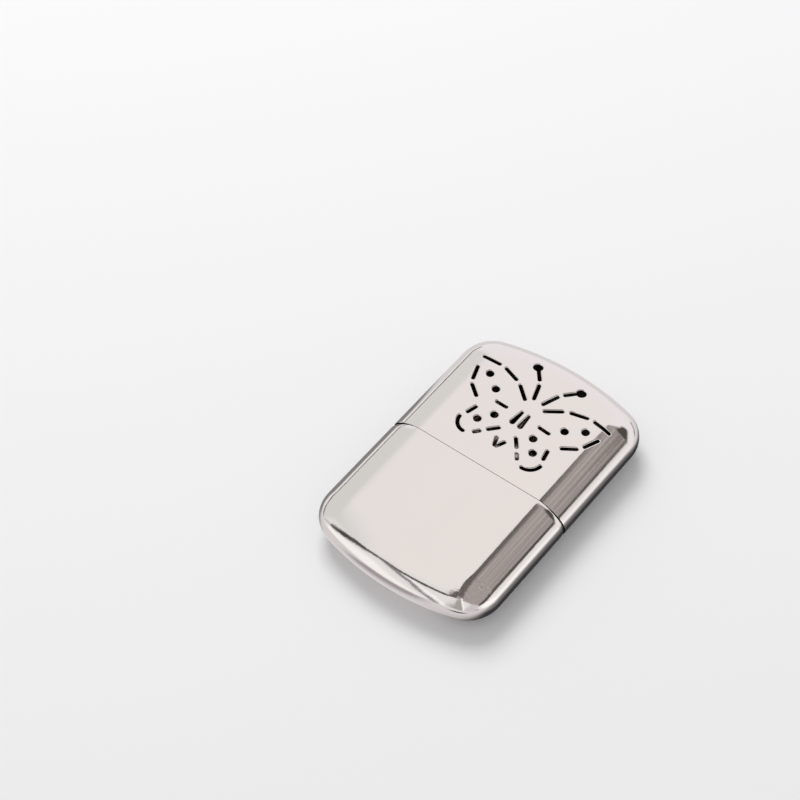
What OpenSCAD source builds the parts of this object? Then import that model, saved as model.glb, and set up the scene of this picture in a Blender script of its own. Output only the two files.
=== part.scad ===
// Catalytic hand warmer: a flat fuel flask with a slip-on vented cap over a lift-off burner.
// It lies on its back. +Z comes out of the front face, +Y runs towards the cap's closed end,
// and the origin is the middle of the back face.

/* [Flask outline] */
// Width across the straight sides
body_w = 65; // [62:0.5:68]
// Length from the tank's closed end to the cap's closed end
body_l = 98; // [96:0.5:102]
// Thickness from the back face to the front face
body_t = 15; // [14.5:0.25:16]
// Length of the tank, from its closed end to the seam
tank_l = 47.5; // [46:0.5:49]
// Corner radius of the outline
corner_r = 12; // [11.5:0.25:14]
// How far the bowed ends stand past where straight ones would
end_rise = 6.3; // [5:0.1:8]
// Width of the roll from the flat face out to the side
roll_w = 11; // [10:0.25:11.25]
// Radius of the side's nose, halfway through the thickness
nose_r = 5; // [4.5:0.25:5.5]

/* [Sheet metal] */
// Thickness of the drawn shells
sheet = 0.5; // [0.4:0.05:0.6]
// Thickness of the burner's lighter sheet
thin_sheet = 0.4; // [0.3:0.05:0.45]
// Gap at the seam between the cap's rim and the tank's rim
seam_gap = 0.12; // [0.1:0.02:0.2]
// Clearance each side between the cap and the collar it slides on
slide_gap = 0.08; // [0.06:0.01:0.1]

/* [Vent figure] */
// Width of a punched slot
slot_w = 1.15; // [0.9:0.05:1.3]
// Diameter of a wing dot
dot_d = 2.5; // [2:0.1:2.8]
// Diameter of the ball at a feeler's tip
ball_d = 3.2; // [2.6:0.1:3.4]
// Turn of the punched figure against the cap, as it was struck
figure_turn = -1.8; // [-3:0.1:3]
// How far right of the middle the figure was struck
figure_x = 0.4; // [-0.6:0.1:0.6]

/* [Tank fittings] */
// Height of the collar above the seam
collar_h = 6; // [5:0.25:6.5]
// Depth of the shoulder cup inside the tank's mouth
cup_depth = 8; // [6:0.5:10]
// Width of the filler neck
neck_w = 26; // [24:0.5:27]
// Thickness of the filler neck
neck_t = 8.6; // [8:0.1:8.8]
// Height of the filler neck above the deck
neck_h = 8; // [7.5:0.25:8.5]
// Width of the felt strip below the neck
wick_w = 20; // [16:0.5:24]
// Thickness of the felt strip below the neck
wick_t = 3; // [2:0.25:4]
// Length of the felt strip below the neck
wick_l = 30; // [20:1:35]

/* [Burner] */
// Width of the burner cage
cage_w = 29; // [28:0.25:30]
// Thickness of the burner cage
cage_t = 10; // [9.6:0.1:10.2]
// Height of the burner cage
cage_h = 16; // [14:0.5:16.5]
// Number of slots across the cage
cage_slots = 7; // [5:1:7]
// Width of a cage slot
cage_slot_w = 2.2; // [1.6:0.1:2.4]
// Thickness of the catalyst mat
mat_t = 8.4; // [8:0.1:8.4]

/* [Hidden] */
$fn = 96;

half_w = body_w / 2;
half_t = body_t / 2;
reach = 1;

// Outline: each bowed end is one arc, tangent to the two corner arcs.
end_r = (half_w * half_w + end_rise * end_rise) / (2 * end_rise);
corner_x = half_w - corner_r;
end_turn = asin(corner_x / (end_r - corner_r));

// Side roll: a wide arc leaves the flat face and a small nose arc closes it.
roll_to_nose = roll_w - nose_r;
roll_r = (roll_to_nose * roll_to_nose + half_t * half_t - nose_r * nose_r) / (2 * (half_t - nose_r));
roll_start = corner_r - roll_w;
roll_facets = 48;
bow_facets = 136;
slot_facets = 20;

// Places along the length.
tank_end = -body_l / 2;
seam_y = tank_end + tank_l;
cap_l = body_l - tank_l - seam_gap;
deck_y = seam_y + collar_h;
neck_top = deck_y + neck_h;

// Shoulder cup, filler neck and screen.
solder_gap = 0.03;
flange_lip = 2;
screen_drop = 6;
screen_t = 0.3;
ring_h = 0.6;
ring_lip = 0.5;
screen_y = neck_top - screen_drop;
screen_pitch = 1.8;
screen_hole = 1.2;
wadding_gap = 0.6;

// Burner.
neck_fit = 0.08;
skirt_start = deck_y + 0.7;
ledge_y = neck_top + 0.1;
ledge_w = 36;
ledge_hole_w = 24;
ledge_hole_t = 6.6;
cage_y = ledge_y + thin_sheet;
cage_corner = 3;
cage_slot_pitch = 3.6;
cage_slot_h = 9.5;
floor_hole_d = 1.4;
floor_pitch = 2.6;
mat_corner = 2.5;
gauze_w = 22.8;
gauze_t = cage_t / 2 - thin_sheet - mat_t / 2;
gauze_pitch = 1.5;
gauze_hole = 1.0;
rivet_x = 16.3;
rivet_r = 0.6;
rivet_head_r = 1.1;
rivet_head_h = 0.45;

// The vent figure, one half of it, as x across and y along from the middle of the body.
// Each slot is [start, end].
wing_slots = [
    [[3.85, 27.0], [8.15, 30.3]], [[10.7, 31.55], [15.65, 33.0]], [[18.5, 33.2], [24.2, 32.7]],
    [[23.3, 28.2], [21.6, 23.7]], [[20.2, 21.5], [16.55, 18.9]], [[6.5, 21.05], [9.95, 20.95]],
    [[13.85, 15.3], [14.6, 12.3]], [[8.25, 7.4], [7.2, 8.7]], [[5.5, 10.8], [3.3, 13.3]],
    [[1.8, 28.95], [3.6, 33.9]], [[4.95, 35.9], [8.4, 39.7]]
];
wing_dots = [[18.5, 28.3], [13.3, 24.6], [7.5, 16.45], [10.7, 12.05]];
feeler_ball = [8.4, 39.7];
// The bowed slot at the lower wing's tip: middle, radius, first and last angle.
tip_bow = [[11.4, 9.85], 4.2, -91, -5];
// The tail hook: top of its arm and its lowest point.
hook_top = [1.5, 9.9];
hook_low = [0.4, 7.4];
// Half of the body: a leaf, slim towards the head.
leaf_head = [1.3, 22.4];
leaf_tail = [1.5, 17.7];
leaf_head_d = 0.9;
leaf_tail_d = 1.7;
figure_y = 20;

steel = [0.82, 0.80, 0.78];
inner_steel = [0.72, 0.71, 0.69];
brass = [0.80, 0.68, 0.42];
cotton = [0.95, 0.94, 0.90];
felt = [0.90, 0.87, 0.80];
fibre = [0.62, 0.62, 0.60];

// ---- shared shapes ----

// Extrudes a section, drawn as x across and y through the thickness, from y0 to y1.
module along(y0, y1) {
    translate([0, y1, half_t]) rotate([90, 0, 0]) linear_extrude(y1 - y0) children();
}

// Section of the side roll, measured outwards from the corner centre.
module roll_section(inset) {
    h = half_t - inset;
    arc_r = roll_r - inset;
    join_x = roll_start + arc_r * roll_to_nose / (roll_r - nose_r);
    translate([0, -h]) square([roll_start, 2 * h]);
    intersection() {
        translate([roll_start, h - arc_r]) circle(arc_r);
        translate([roll_start, arc_r - h]) circle(arc_r);
        translate([roll_start, -h]) square([join_x - roll_start, 2 * h]);
    }
    intersection() {
        translate([corner_r - nose_r, 0]) circle(nose_r - inset);
        translate([join_x, -h]) square([corner_r - inset - join_x, 2 * h]);
    }
}

// Section across the flask: flat faces between two rolls.
module oval_section(inset) {
    h = half_t - inset;
    translate([-corner_x, -h]) square([2 * corner_x, 2 * h]);
    for (side = [0, 1]) mirror([side, 0]) translate([corner_x, 0]) roll_section(inset);
}

// One end of the flask: an open mouth at y = -back, and a bowed closed end at y = len.
module flask_end(len, inset, back = 0) {
    arc_y = len - end_r;
    corner_y = arc_y + (end_r - corner_r) * cos(end_turn);
    hull() {
        along(-back, corner_y) oval_section(inset, $fn = roll_facets);
        for (side = [-1, 1]) translate([side * corner_x, corner_y, half_t])
            rotate_extrude($fn = roll_facets) roll_section(inset);
        translate([0, arc_y, half_t])
            rotate_extrude(angle = 2 * end_turn, start = 90 - end_turn, $fn = bow_facets)
                translate([end_r - corner_r, 0]) roll_section(inset, $fn = roll_facets);
    }
}

// The tank's end of the flask, with its mouth at the seam.
module tank_form(inset, back = 0) {
    translate([0, seam_y, 0]) rotate([0, 0, 180]) flask_end(tank_l, inset, back);
}

// The cap's end of the flask, with its mouth just past the seam.
module cap_form(inset, back = 0) {
    translate([0, seam_y + seam_gap, 0]) flask_end(cap_l, inset, back);
}

// A flat oval with round ends.
module flat_oval(w, t) {
    square([w - t, t], center = true);
    for (side = [-1, 1]) translate([side * (w - t) / 2, 0]) circle(t / 2);
}

// A rectangle with round corners.
module round_rect(w, t, r) {
    square([w - 2 * r, t], center = true);
    square([w, t - 2 * r], center = true);
    for (x = [-1, 1], y = [-1, 1]) translate([x * (w / 2 - r), y * (t / 2 - r)]) circle(r);
}

// A straight slot between two points, with round ends that may differ in size.
module slot(a, b, da, db) {
    run = norm(b - a);
    translate(a) rotate(atan2(b.y - a.y, b.x - a.x)) {
        circle(d = da);
        translate([run, 0]) circle(d = db);
        polygon([[0, -da / 2], [run, -db / 2], [run, db / 2], [0, da / 2]]);
    }
}

// A slot that follows an arc.
module bow_slot(r, first, last, w) {
    steps = 12;
    turn = (last - first) / steps;
    polygon(concat(
        [for (i = [0:steps]) (r + w / 2) * [cos(first + i * turn), sin(first + i * turn)]],
        [for (i = [steps:-1:0]) (r - w / 2) * [cos(first + i * turn), sin(first + i * turn)]]
    ));
    for (a = [first, last]) translate(r * [cos(a), sin(a)]) circle(d = w);
}

// ---- the punched figure ----

module figure_half() {
    for (s = wing_slots) slot(s[0], s[1], slot_w, slot_w);
    for (d = wing_dots) translate(d) circle(d = dot_d);
    translate(feeler_ball) circle(d = ball_d);
    translate(tip_bow[0]) bow_slot(tip_bow[1], tip_bow[2], tip_bow[3], slot_w);
    slot(hook_top, hook_low, slot_w, slot_w);
    slot(leaf_tail, leaf_head, leaf_tail_d, leaf_head_d);
}

module figure() {
    translate([figure_x, figure_y]) rotate(figure_turn) translate([0, -figure_y]) {
        figure_half();
        mirror([1, 0]) figure_half();
    }
}

// ---- tank ----

module tank_shell() color(steel) difference() {
    tank_form(0);
    tank_form(sheet, reach);
}

module shoulder_cup() color(inner_steel) {
    collar_out = sheet + slide_gap;
    along(seam_y - cup_depth, seam_y) difference() {
        oval_section(sheet + solder_gap);
        oval_section(2 * sheet);
    }
    along(seam_y, deck_y - sheet) difference() {
        oval_section(collar_out);
        oval_section(2 * sheet);
    }
    along(deck_y - sheet, deck_y) difference() {
        oval_section(collar_out);
        flat_oval(neck_w, neck_t);
    }
}

module filler_neck() color(inner_steel) {
    along(deck_y - sheet, neck_top) difference() {
        flat_oval(neck_w, neck_t);
        flat_oval(neck_w - 2 * sheet, neck_t - 2 * sheet);
    }
    along(deck_y - 2 * sheet, deck_y - sheet) difference() {
        flat_oval(neck_w + 2 * flange_lip, neck_t + 2 * flange_lip);
        flat_oval(neck_w - 2 * sheet, neck_t - 2 * sheet);
    }
}

module neck_screen() color(brass) {
    columns = floor((neck_w - neck_t) / screen_pitch / 2);
    along(screen_y, screen_y + screen_t) difference() {
        flat_oval(neck_w - 2 * sheet, neck_t - 2 * sheet);
        for (i = [-columns:columns], j = [-1:1])
            translate([i * screen_pitch, j * screen_pitch]) square(screen_hole, center = true);
    }
}

module screen_ring() color(inner_steel)
    along(screen_y + screen_t, screen_y + screen_t + ring_h) difference() {
        flat_oval(neck_w - 2 * sheet, neck_t - 2 * sheet);
        flat_oval(neck_w - 2 * sheet - 2 * ring_lip, neck_t - 2 * sheet - 2 * ring_lip);
    }

module felt_wick() color(felt) {
    plug_y = deck_y - 2 * sheet - wadding_gap;
    along(plug_y, screen_y) flat_oval(neck_w - 2 * sheet, neck_t - 2 * sheet);
    along(plug_y - wick_l, plug_y) square([wick_w, wick_t], center = true);
}

// All of the cotton, before it parts into two layers round the felt strip.
module wadding() {
    fill_top = deck_y - 2 * sheet - wadding_gap;
    fill_in = 2 * sheet + 0.1;
    difference() {
        tank_form(fill_in, fill_top - seam_y);
        along(fill_top - wick_l, fill_top + reach) square([wick_w, wick_t], center = true);
    }
}

module wadding_front() color(cotton) intersection() {
    wadding();
    translate([-half_w, tank_end, half_t]) cube([body_w, body_l, half_t]);
}

module wadding_back() color(cotton) intersection() {
    wadding();
    translate([-half_w, tank_end, 0]) cube([body_w, body_l, half_t]);
}

// ---- burner ----

module burner_skirt() color(inner_steel) {
    socket_w = neck_w + 2 * neck_fit;
    socket_t = neck_t + 2 * neck_fit;
    along(skirt_start, ledge_y) difference() {
        flat_oval(socket_w + 2 * thin_sheet, socket_t + 2 * thin_sheet);
        flat_oval(socket_w, socket_t);
    }
    along(ledge_y, ledge_y + thin_sheet) difference() {
        round_rect(ledge_w, cage_t, cage_corner);
        flat_oval(ledge_hole_w, ledge_hole_t);
        for (side = [-1, 1]) translate([side * rivet_x, 0]) circle(rivet_r);
    }
}

module burner_floor() color(brass)
    along(cage_y, cage_y + thin_sheet) difference() {
        round_rect(cage_w - 2 * thin_sheet, cage_t - 2 * thin_sheet, cage_corner - thin_sheet);
        for (i = [-4:4], j = [-1, 1])
            translate([i * floor_pitch, j * floor_pitch / 2]) circle(d = floor_hole_d);
    }

module cage_slot_row(length) {
    for (i = [0:cage_slots - 1])
        translate([(i - (cage_slots - 1) / 2) * cage_slot_pitch, 0])
            round_rect(cage_slot_w, length, cage_slot_w / 2 - 0.01);
}

module burner_cage() color(steel) {
    top_y = cage_y + cage_h;
    difference() {
        union() {
            along(cage_y, top_y - thin_sheet) difference() {
                round_rect(cage_w, cage_t, cage_corner);
                round_rect(cage_w - 2 * thin_sheet, cage_t - 2 * thin_sheet, cage_corner - thin_sheet);
            }
            along(top_y - thin_sheet, top_y) round_rect(cage_w, cage_t, cage_corner);
        }
        translate([0, cage_y + cage_h / 2, -reach]) linear_extrude(body_t + 2 * reach)
            cage_slot_row(cage_slot_h);
        along(top_y - thin_sheet - reach / 2, top_y + reach) cage_slot_row(cage_t - 4);
    }
    // Ears that the rivets hold down on the ledge.
    for (side = [0, 1]) mirror([side, 0, 0])
        along(cage_y, cage_y + thin_sheet) difference() {
            translate([cage_w / 2, -cage_t / 4])
                square([ledge_w / 2 - cage_w / 2, cage_t / 2]);
            translate([rivet_x, 0]) circle(rivet_r);
        }
}

module catalyst_mat() color(fibre)
    along(cage_y + thin_sheet, cage_y + cage_h - thin_sheet)
        round_rect(cage_w - 2.4, mat_t, mat_corner);

// A wire gauze between the mat and one wall of the cage.
module gauze() {
    rows = floor((cage_h - 2) / gauze_pitch / 2);
    columns = floor((gauze_w - 2) / gauze_pitch / 2);
    linear_extrude(gauze_t) difference() {
        square([gauze_w, cage_h - 2 * thin_sheet], center = true);
        for (i = [-columns:columns], j = [-rows:rows])
            translate([i * gauze_pitch, j * gauze_pitch]) square(gauze_hole, center = true);
    }
}

module gauze_front() color(brass)
    translate([0, cage_y + cage_h / 2, half_t + mat_t / 2]) gauze();

module gauze_back() color(brass)
    translate([0, cage_y + cage_h / 2, half_t - mat_t / 2 - gauze_t]) gauze();

module burner_rivets() color(brass)
    for (side = [-1, 1]) translate([side * rivet_x, 0, 0]) {
        along(ledge_y - rivet_head_h, ledge_y) circle(rivet_head_r);
        along(ledge_y, cage_y + thin_sheet) circle(rivet_r);
        along(cage_y + thin_sheet, cage_y + thin_sheet + rivet_head_h) circle(rivet_head_r);
    }

// ---- cap ----

module cap_shell() color(steel) difference() {
    cap_form(0);
    cap_form(sheet, reach);
    translate([0, 0, body_t * 3 / 4]) linear_extrude(body_t / 2) figure($fn = slot_facets);
}

tank_shell();
shoulder_cup();
filler_neck();
neck_screen();
screen_ring();
felt_wick();
wadding_front();
wadding_back();
burner_skirt();
burner_floor();
burner_cage();
catalyst_mat();
gauze_front();
gauze_back();
burner_rivets();
cap_shell();
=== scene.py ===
"""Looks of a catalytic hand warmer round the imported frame. Lengths are millimetres until a mesh is made."""

import math
import random

import bmesh
import bpy
from mathutils import Matrix, Vector, noise
from mathutils.geometry import delaunay_2d_cdt


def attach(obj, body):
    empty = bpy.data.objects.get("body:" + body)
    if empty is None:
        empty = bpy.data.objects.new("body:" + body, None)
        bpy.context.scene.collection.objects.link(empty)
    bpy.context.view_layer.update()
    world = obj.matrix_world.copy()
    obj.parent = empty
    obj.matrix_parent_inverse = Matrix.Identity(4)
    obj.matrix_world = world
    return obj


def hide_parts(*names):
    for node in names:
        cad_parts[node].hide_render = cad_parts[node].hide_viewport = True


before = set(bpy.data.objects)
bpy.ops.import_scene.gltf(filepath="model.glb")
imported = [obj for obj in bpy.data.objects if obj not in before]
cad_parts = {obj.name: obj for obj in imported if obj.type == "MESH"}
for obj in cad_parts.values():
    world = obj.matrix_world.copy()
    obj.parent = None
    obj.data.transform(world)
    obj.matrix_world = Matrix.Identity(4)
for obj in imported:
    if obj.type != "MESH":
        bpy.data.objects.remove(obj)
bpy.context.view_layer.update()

MM = 0.001

# ---- the flask's sizes, as in the part's source ----

BODY_L, BODY_T, HALF_W = 98.0, 15.0, 32.5
TANK_L, SEAM_GAP = 47.5, 0.12
CORNER_R, END_RISE, ROLL_W, NOSE_R = 12.0, 6.3, 11.0, 5.0
SHEET, THIN_SHEET = 0.5, 0.4
SEAM_Y = TANK_L - BODY_L / 2
CAP_L = BODY_L - TANK_L - SEAM_GAP
HALF_T = BODY_T / 2
END_R = (HALF_W ** 2 + END_RISE ** 2) / (2 * END_RISE)
CORNER_X = HALF_W - CORNER_R
END_TURN = math.asin(CORNER_X / (END_R - CORNER_R))
ROLL_START = CORNER_R - ROLL_W
ROLL_TO_NOSE = ROLL_W - NOSE_R
ROLL_R = (ROLL_TO_NOSE ** 2 + HALF_T ** 2 - NOSE_R ** 2) / (2 * (HALF_T - NOSE_R))
JOIN_ANGLE = math.atan2(ROLL_TO_NOSE, ROLL_R - HALF_T)


def roll_point(angle, inset=0.0):
    """Point of the roll whose normal is at that angle from the face: (outwards, height from the middle)."""
    if angle > math.pi / 2:
        out, up = roll_point(math.pi - angle, inset)
        return out, -up
    if angle < JOIN_ANGLE:
        r = ROLL_R - inset
        return ROLL_START + r * math.sin(angle), HALF_T - ROLL_R + r * math.cos(angle)
    r = NOSE_R - inset
    return CORNER_R - NOSE_R + r * math.sin(angle), r * math.cos(angle)


# ---- sheet metal: a skin with a thickness ----

# A rim is rounded in this many steps, and stands this far past its own mouth.
RIM_STEPS, RIM = 5, 0.05


class Sheet:
    """A skin of points, each with the direction it is thickened against and its own shading direction."""

    def __init__(self, thickness):
        self.thickness = thickness
        self.points, self.across, self.shading, self.faces = [], [], [], []
        self.inner_from = None

    def add(self, point, across, shading=None):
        self.points.append(Vector(point))
        self.across.append(Vector(across).normalized())
        self.shading.append(Vector(shading).normalized() if shading is not None else None)
        return len(self.points) - 1

    def band(self, a, b, closed=True):
        """Quads between two rows with the same number of points."""
        n = len(a)
        for i in range(n if closed else n - 1):
            j = (i + 1) % n
            self.faces.append((a[i], a[j], b[j], b[i]))

    def fill(self, plan, ids, holes, flip=False):
        """Triangles between the points of ids, laid out flat by plan, except in the holes, rows of ids."""
        spot = {v: i for i, v in enumerate(ids)}
        edges, owner = [], {}
        for h, hole in enumerate(holes):
            for a, b in zip(hole, hole[1:] + hole[:1]):
                edges.append((spot[a], spot[b]))
                owner[spot[a]] = h
        rings = [[plan[spot[v]] for v in hole] for hole in holes]
        flat = [Vector(p) for p in plan]
        _, _, tris, source, _, _ = delaunay_2d_cdt(flat, edges, [], 0, 1e-6)
        for tri in tris:
            at = [source[v][0] for v in tri]
            own = {owner.get(v) for v in at}
            if len(own) == 1 and None not in own:
                mid = sum((flat[v] for v in at), Vector((0, 0))) / 3
                if inside(mid, rings[own.pop()]):
                    continue
            face = [ids[v] for v in at]
            if turning([flat[v] for v in at]) < 0:
                face.reverse()
            self.faces.append(tuple(reversed(face)) if flip else tuple(face))

    def fill_level(self, border, holes):
        """The same for a level face inside a border, laid out by its own points."""
        ids = border + [v for hole in holes for v in hole]
        self.fill([(self.points[v].x, self.points[v].z) for v in ids], ids, holes)

    def dip(self, edge, rings, lay):
        """Skins a punched edge and returns its rows of points. lay(x, y) gives point, normal and shading."""
        rows = []
        for (_, depth), ring in zip(edge, rings):
            row = []
            for p in ring:
                point, normal, shading = lay(p.x, p.y)
                row.append(self.add(point - normal * depth, normal, None if depth else shading))
            rows.append(row)
        for a, b in zip(rows, rows[1:]):
            self.band(a, b)
        return rows

    def thicken(self, holes, rims=(), stand=RIM):
        """Adds the far side of the sheet, the walls of the holes, and rounded rims along open rows."""
        n, t = len(self.points), self.thickness
        self.inner_from = len(self.faces)
        for i in range(n):
            self.add(self.points[i] - self.across[i] * t, self.across[i])
            self.shading[-1] = -self.shading[i] if self.shading[i] else None
        outer = self.faces[:]
        self.faces += [tuple(v + n for v in reversed(f)) for f in outer]
        for hole in holes:
            self.band(hole, [v + n for v in hole])
        for row, ahead in rims:
            ahead = Vector(ahead)
            last = row
            for step in range(1, RIM_STEPS):
                a = math.pi * step / RIM_STEPS
                turn = []
                for v in row:
                    across = self.across[v]
                    middle = self.points[v] - across * t / 2
                    point = middle + across * math.cos(a) * t / 2 + ahead * math.sin(a) * stand
                    turn.append(self.add(point, across, across * math.cos(a) + ahead * math.sin(a)))
                self.band(last, turn)
                last = turn
            self.band(last, [v + n for v in row])


def inside(p, ring):
    hit = False
    for a, b in zip(ring, ring[1:] + ring[:1]):
        if (a[1] > p[1]) != (b[1] > p[1]) and p[0] < (b[0] - a[0]) * (p[1] - a[1]) / (b[1] - a[1]) + a[0]:
            hit = not hit
    return hit


def turning(ring):
    """Twice the ring's area, positive where it runs anticlockwise."""
    return sum(a[0] * b[1] - b[0] * a[1] for a, b in zip(ring, ring[1:] + ring[:1]))


def face_outwards(mesh):
    work = bmesh.new()
    work.from_mesh(mesh)
    bmesh.ops.recalc_face_normals(work, faces=work.faces)
    work.to_mesh(mesh)
    work.free()


def make_piece(name, points, faces, material, shading=None, body=None, node=None, inner=None):
    """An object from millimetre points. shading: directions for some points. inner: first face, material."""
    mesh = bpy.data.meshes.new(name)
    mesh.from_pydata([Vector(p) * MM for p in points], [], faces)
    mesh.materials.append(material)
    if inner:
        mesh.materials.append(inner[1])
        for face in mesh.polygons[inner[0]:]:
            face.material_index = 1
    mesh.polygons.foreach_set("use_smooth", [True] * len(mesh.polygons))
    if shading:
        own = [Vector(v.vector) for v in mesh.vertex_normals]
        mesh.normals_split_custom_set_from_vertices([s if s else o for s, o in zip(shading, own)])
    else:
        face_outwards(mesh)
    obj = bpy.data.objects.new(name, mesh)
    bpy.context.collection.objects.link(obj)
    if body:
        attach(obj, body)
        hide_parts(node)
    return obj


# ---- the punched figure ----

# Half of the figure, right of its middle: slots from end to end, dots, and the shapes that close it.
SLOT_R, DOT_R, BALL_R = 0.575, 1.25, 1.6
WING_SLOTS = [
    ((3.85, 27.0), (8.15, 30.3)), ((10.7, 31.55), (15.65, 33.0)), ((18.5, 33.2), (24.2, 32.7)),
    ((23.3, 28.2), (21.6, 23.7)), ((20.2, 21.5), (16.55, 18.9)), ((6.5, 21.05), (9.95, 20.95)),
    ((13.85, 15.3), (14.6, 12.3)), ((8.25, 7.4), (7.2, 8.7)), ((5.5, 10.8), (3.3, 13.3)),
    ((1.8, 28.95), (3.6, 33.9)),
]
WING_DOTS = [(18.5, 28.3), (13.3, 24.6), (7.5, 16.45), (10.7, 12.05)]
FEELER = ((4.95, 35.9), (8.4, 39.7))
TIP_BOW = ((11.4, 9.85), 4.2, -91, -5)
HOOK = (Vector((1.5, 9.9)), Vector((0.4, 7.4)))
LEAF = (((1.5, 17.7), 0.85), ((1.3, 22.4), 0.45))
FIGURE_TURN, FIGURE_X, FIGURE_Y = math.radians(-1.8), 0.4, 20.0

# How the sheet dips at a punched edge: (distance from the edge, depth).
PUNCHED_EDGE = [(0.42, 0.0), (0.30, 0.012), (0.20, 0.045), (0.11, 0.10), (0.04, 0.17), (0.0, 0.26)]
END_CAP, ARC_STEPS = 9, 26


def arc(centre, r, first, last, steps):
    return [
        Vector((centre[0] + r * math.cos(first + (last - first) * i / steps),
                centre[1] + r * math.sin(first + (last - first) * i / steps)))
        for i in range(steps + 1)
    ]


def stroke_ring(spine, grow):
    """Outline of a stroke along a spine of (point, radius), grown by that much."""
    pts = [Vector(p) for p, _ in spine]
    left, right = [], []
    for i, (_, r) in enumerate(spine):
        back = (pts[i] - pts[max(i - 1, 0)]).normalized()
        on = (pts[min(i + 1, len(pts) - 1)] - pts[i]).normalized()
        along = (back + on).normalized()
        side = Vector((-along.y, along.x)) * (r + grow)
        left.append(pts[i] + side)
        right.append(pts[i] - side)
    start, end = pts[1] - pts[0], pts[-1] - pts[-2]
    a = math.atan2(end.y, end.x)
    b = math.atan2(-start.y, -start.x)
    tail = arc(pts[-1], spine[-1][1] + grow, a - math.pi / 2, a + math.pi / 2, END_CAP)[1:-1]
    head = arc(pts[0], spine[0][1] + grow, b - math.pi / 2, b + math.pi / 2, END_CAP)[1:-1]
    return right + tail + left[::-1] + head


def straight(a, b, ra, rb, step=1.4):
    a, b = Vector(a), Vector(b)
    n = max(2, round((b - a).length / step))
    return [(a.lerp(b, i / n), ra + (rb - ra) * i / n) for i in range(n + 1)]


def disc_ring(centre, r, grow):
    return arc(centre, r + grow, 0, math.tau, ARC_STEPS)[:-1]


def feeler_ring(tail, ball, grow):
    """A stroke that ends in a ball."""
    tail, ball = Vector(tail), Vector(ball)
    w, r = SLOT_R + grow, BALL_R + grow
    down = (tail - ball).normalized()
    side = Vector((-down.y, down.x))
    a, open_by = math.atan2(down.y, down.x), math.asin(w / r)
    neck = ball + down * math.sqrt(r * r - w * w)
    ring = arc(ball, r, a + open_by, a + math.tau - open_by, ARC_STEPS)
    ring += [neck.lerp(tail, i / 3) - side * w for i in range(1, 4)]
    ring += arc(tail, w, a - math.pi / 2, a + math.pi / 2, END_CAP)[1:-1]
    ring += [tail.lerp(neck, i / 3) + side * w for i in range(3)]
    return ring


def hook_ring(grow):
    """The tail: two arms that meet in a rounded point."""
    top, low = HOOK
    r = SLOT_R + grow
    down = (low - top).normalized()
    out = Vector((-down.y, down.x))
    reach = (top - low).length
    first = (out.x * r - low.x) / -down.x
    half = [low - out * r - down * (first + (reach - first) * i / 3) for i in range(4)]
    a = math.atan2(-down.y, -down.x)
    half += arc(top, r, a + math.pi / 2, a - math.pi / 2, END_CAP)[1:-1]
    half += [top.lerp(low, i / 3) + out * r for i in range(4)]
    half += arc(low, r, math.atan2(out.y, out.x), -math.pi / 2, 4)[1:]
    half.append(Vector((0, low.y - r)))
    return half + [Vector((-p.x, p.y)) for p in half[-2:0:-1]]


def figure_rings():
    """For each hole a row of outlines, from the start of the dip to the edge."""
    makers = [lambda g, s=straight(a, b, SLOT_R, SLOT_R): stroke_ring(s, g) for a, b in WING_SLOTS]
    makers += [lambda g, c=c: disc_ring(c, DOT_R, g) for c in WING_DOTS]
    makers.append(lambda g: feeler_ring(*FEELER, g))
    centre, r, first, last = TIP_BOW
    bow = [(p, SLOT_R) for p in arc(centre, r, math.radians(first), math.radians(last), 9)]
    makers.append(lambda g: stroke_ring(bow, g))
    leaf = straight(LEAF[0][0], LEAF[1][0], LEAF[0][1], LEAF[1][1])
    makers.append(lambda g: stroke_ring(leaf, g))
    middle, struck = Vector((0, FIGURE_Y)), Vector((FIGURE_X, FIGURE_Y))
    turn = Matrix.Rotation(FIGURE_TURN, 2)
    holes = []
    for maker, sides in [(m, (1, -1)) for m in makers] + [(hook_ring, (1,))]:
        for side in sides:
            rings = [[struck + turn @ (Vector((p.x * side, p.y)) - middle) for p in maker(grow)]
                     for grow, _ in PUNCHED_EDGE]
            if turning(rings[0]) < 0:
                rings = [ring[::-1] for ring in rings]
            holes.append(rings)
    return holes


# ---- the two shells ----

ROLL_ANGLES = [2, 5, 8, 11, 14, 17, 20, 23, 26, 29, 32, 35, 38, 41, 45, 50, 56, 63, 71, 80, 90]
# The punched face is laid flat as far as this row of the roll.
PUNCHED_FROM = 8
CORNER_STEPS, BOW_STEPS, FACE_STEPS = 16, 8, 28
# Distances from the mouth of the rows near it, and how far apart the points of the face lie.
MOUTH_ROWS = (0, 0.12, 0.27, 0.45, 0.7, 1.0, 1.4, 1.9, 2.5, 3.2, 4.2, 5.6, 7.6)
ROW_STEP, GRID_STEP = 3, 0.7
# Room that the points of the face keep from its edge, from a hole and from each other.
EDGE_ROOM, HOLE_ROOM, POINT_ROOM = 0.4, 0.5, 0.08
# The face isn't quite flat: its shading leans out by this much towards the ends.
CROWN = 0.008
# A mouth is drawn in less by this share where it is level, and the change comes on this sharply.
LEVEL_SHARE, LEVEL_SHARPNESS = 0.92, 14
# The rims reach this far into the seam, so that it closes to a hair.
RIM_REACH = 0.04
EDGE_Y = RIM - RIM_REACH


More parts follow.
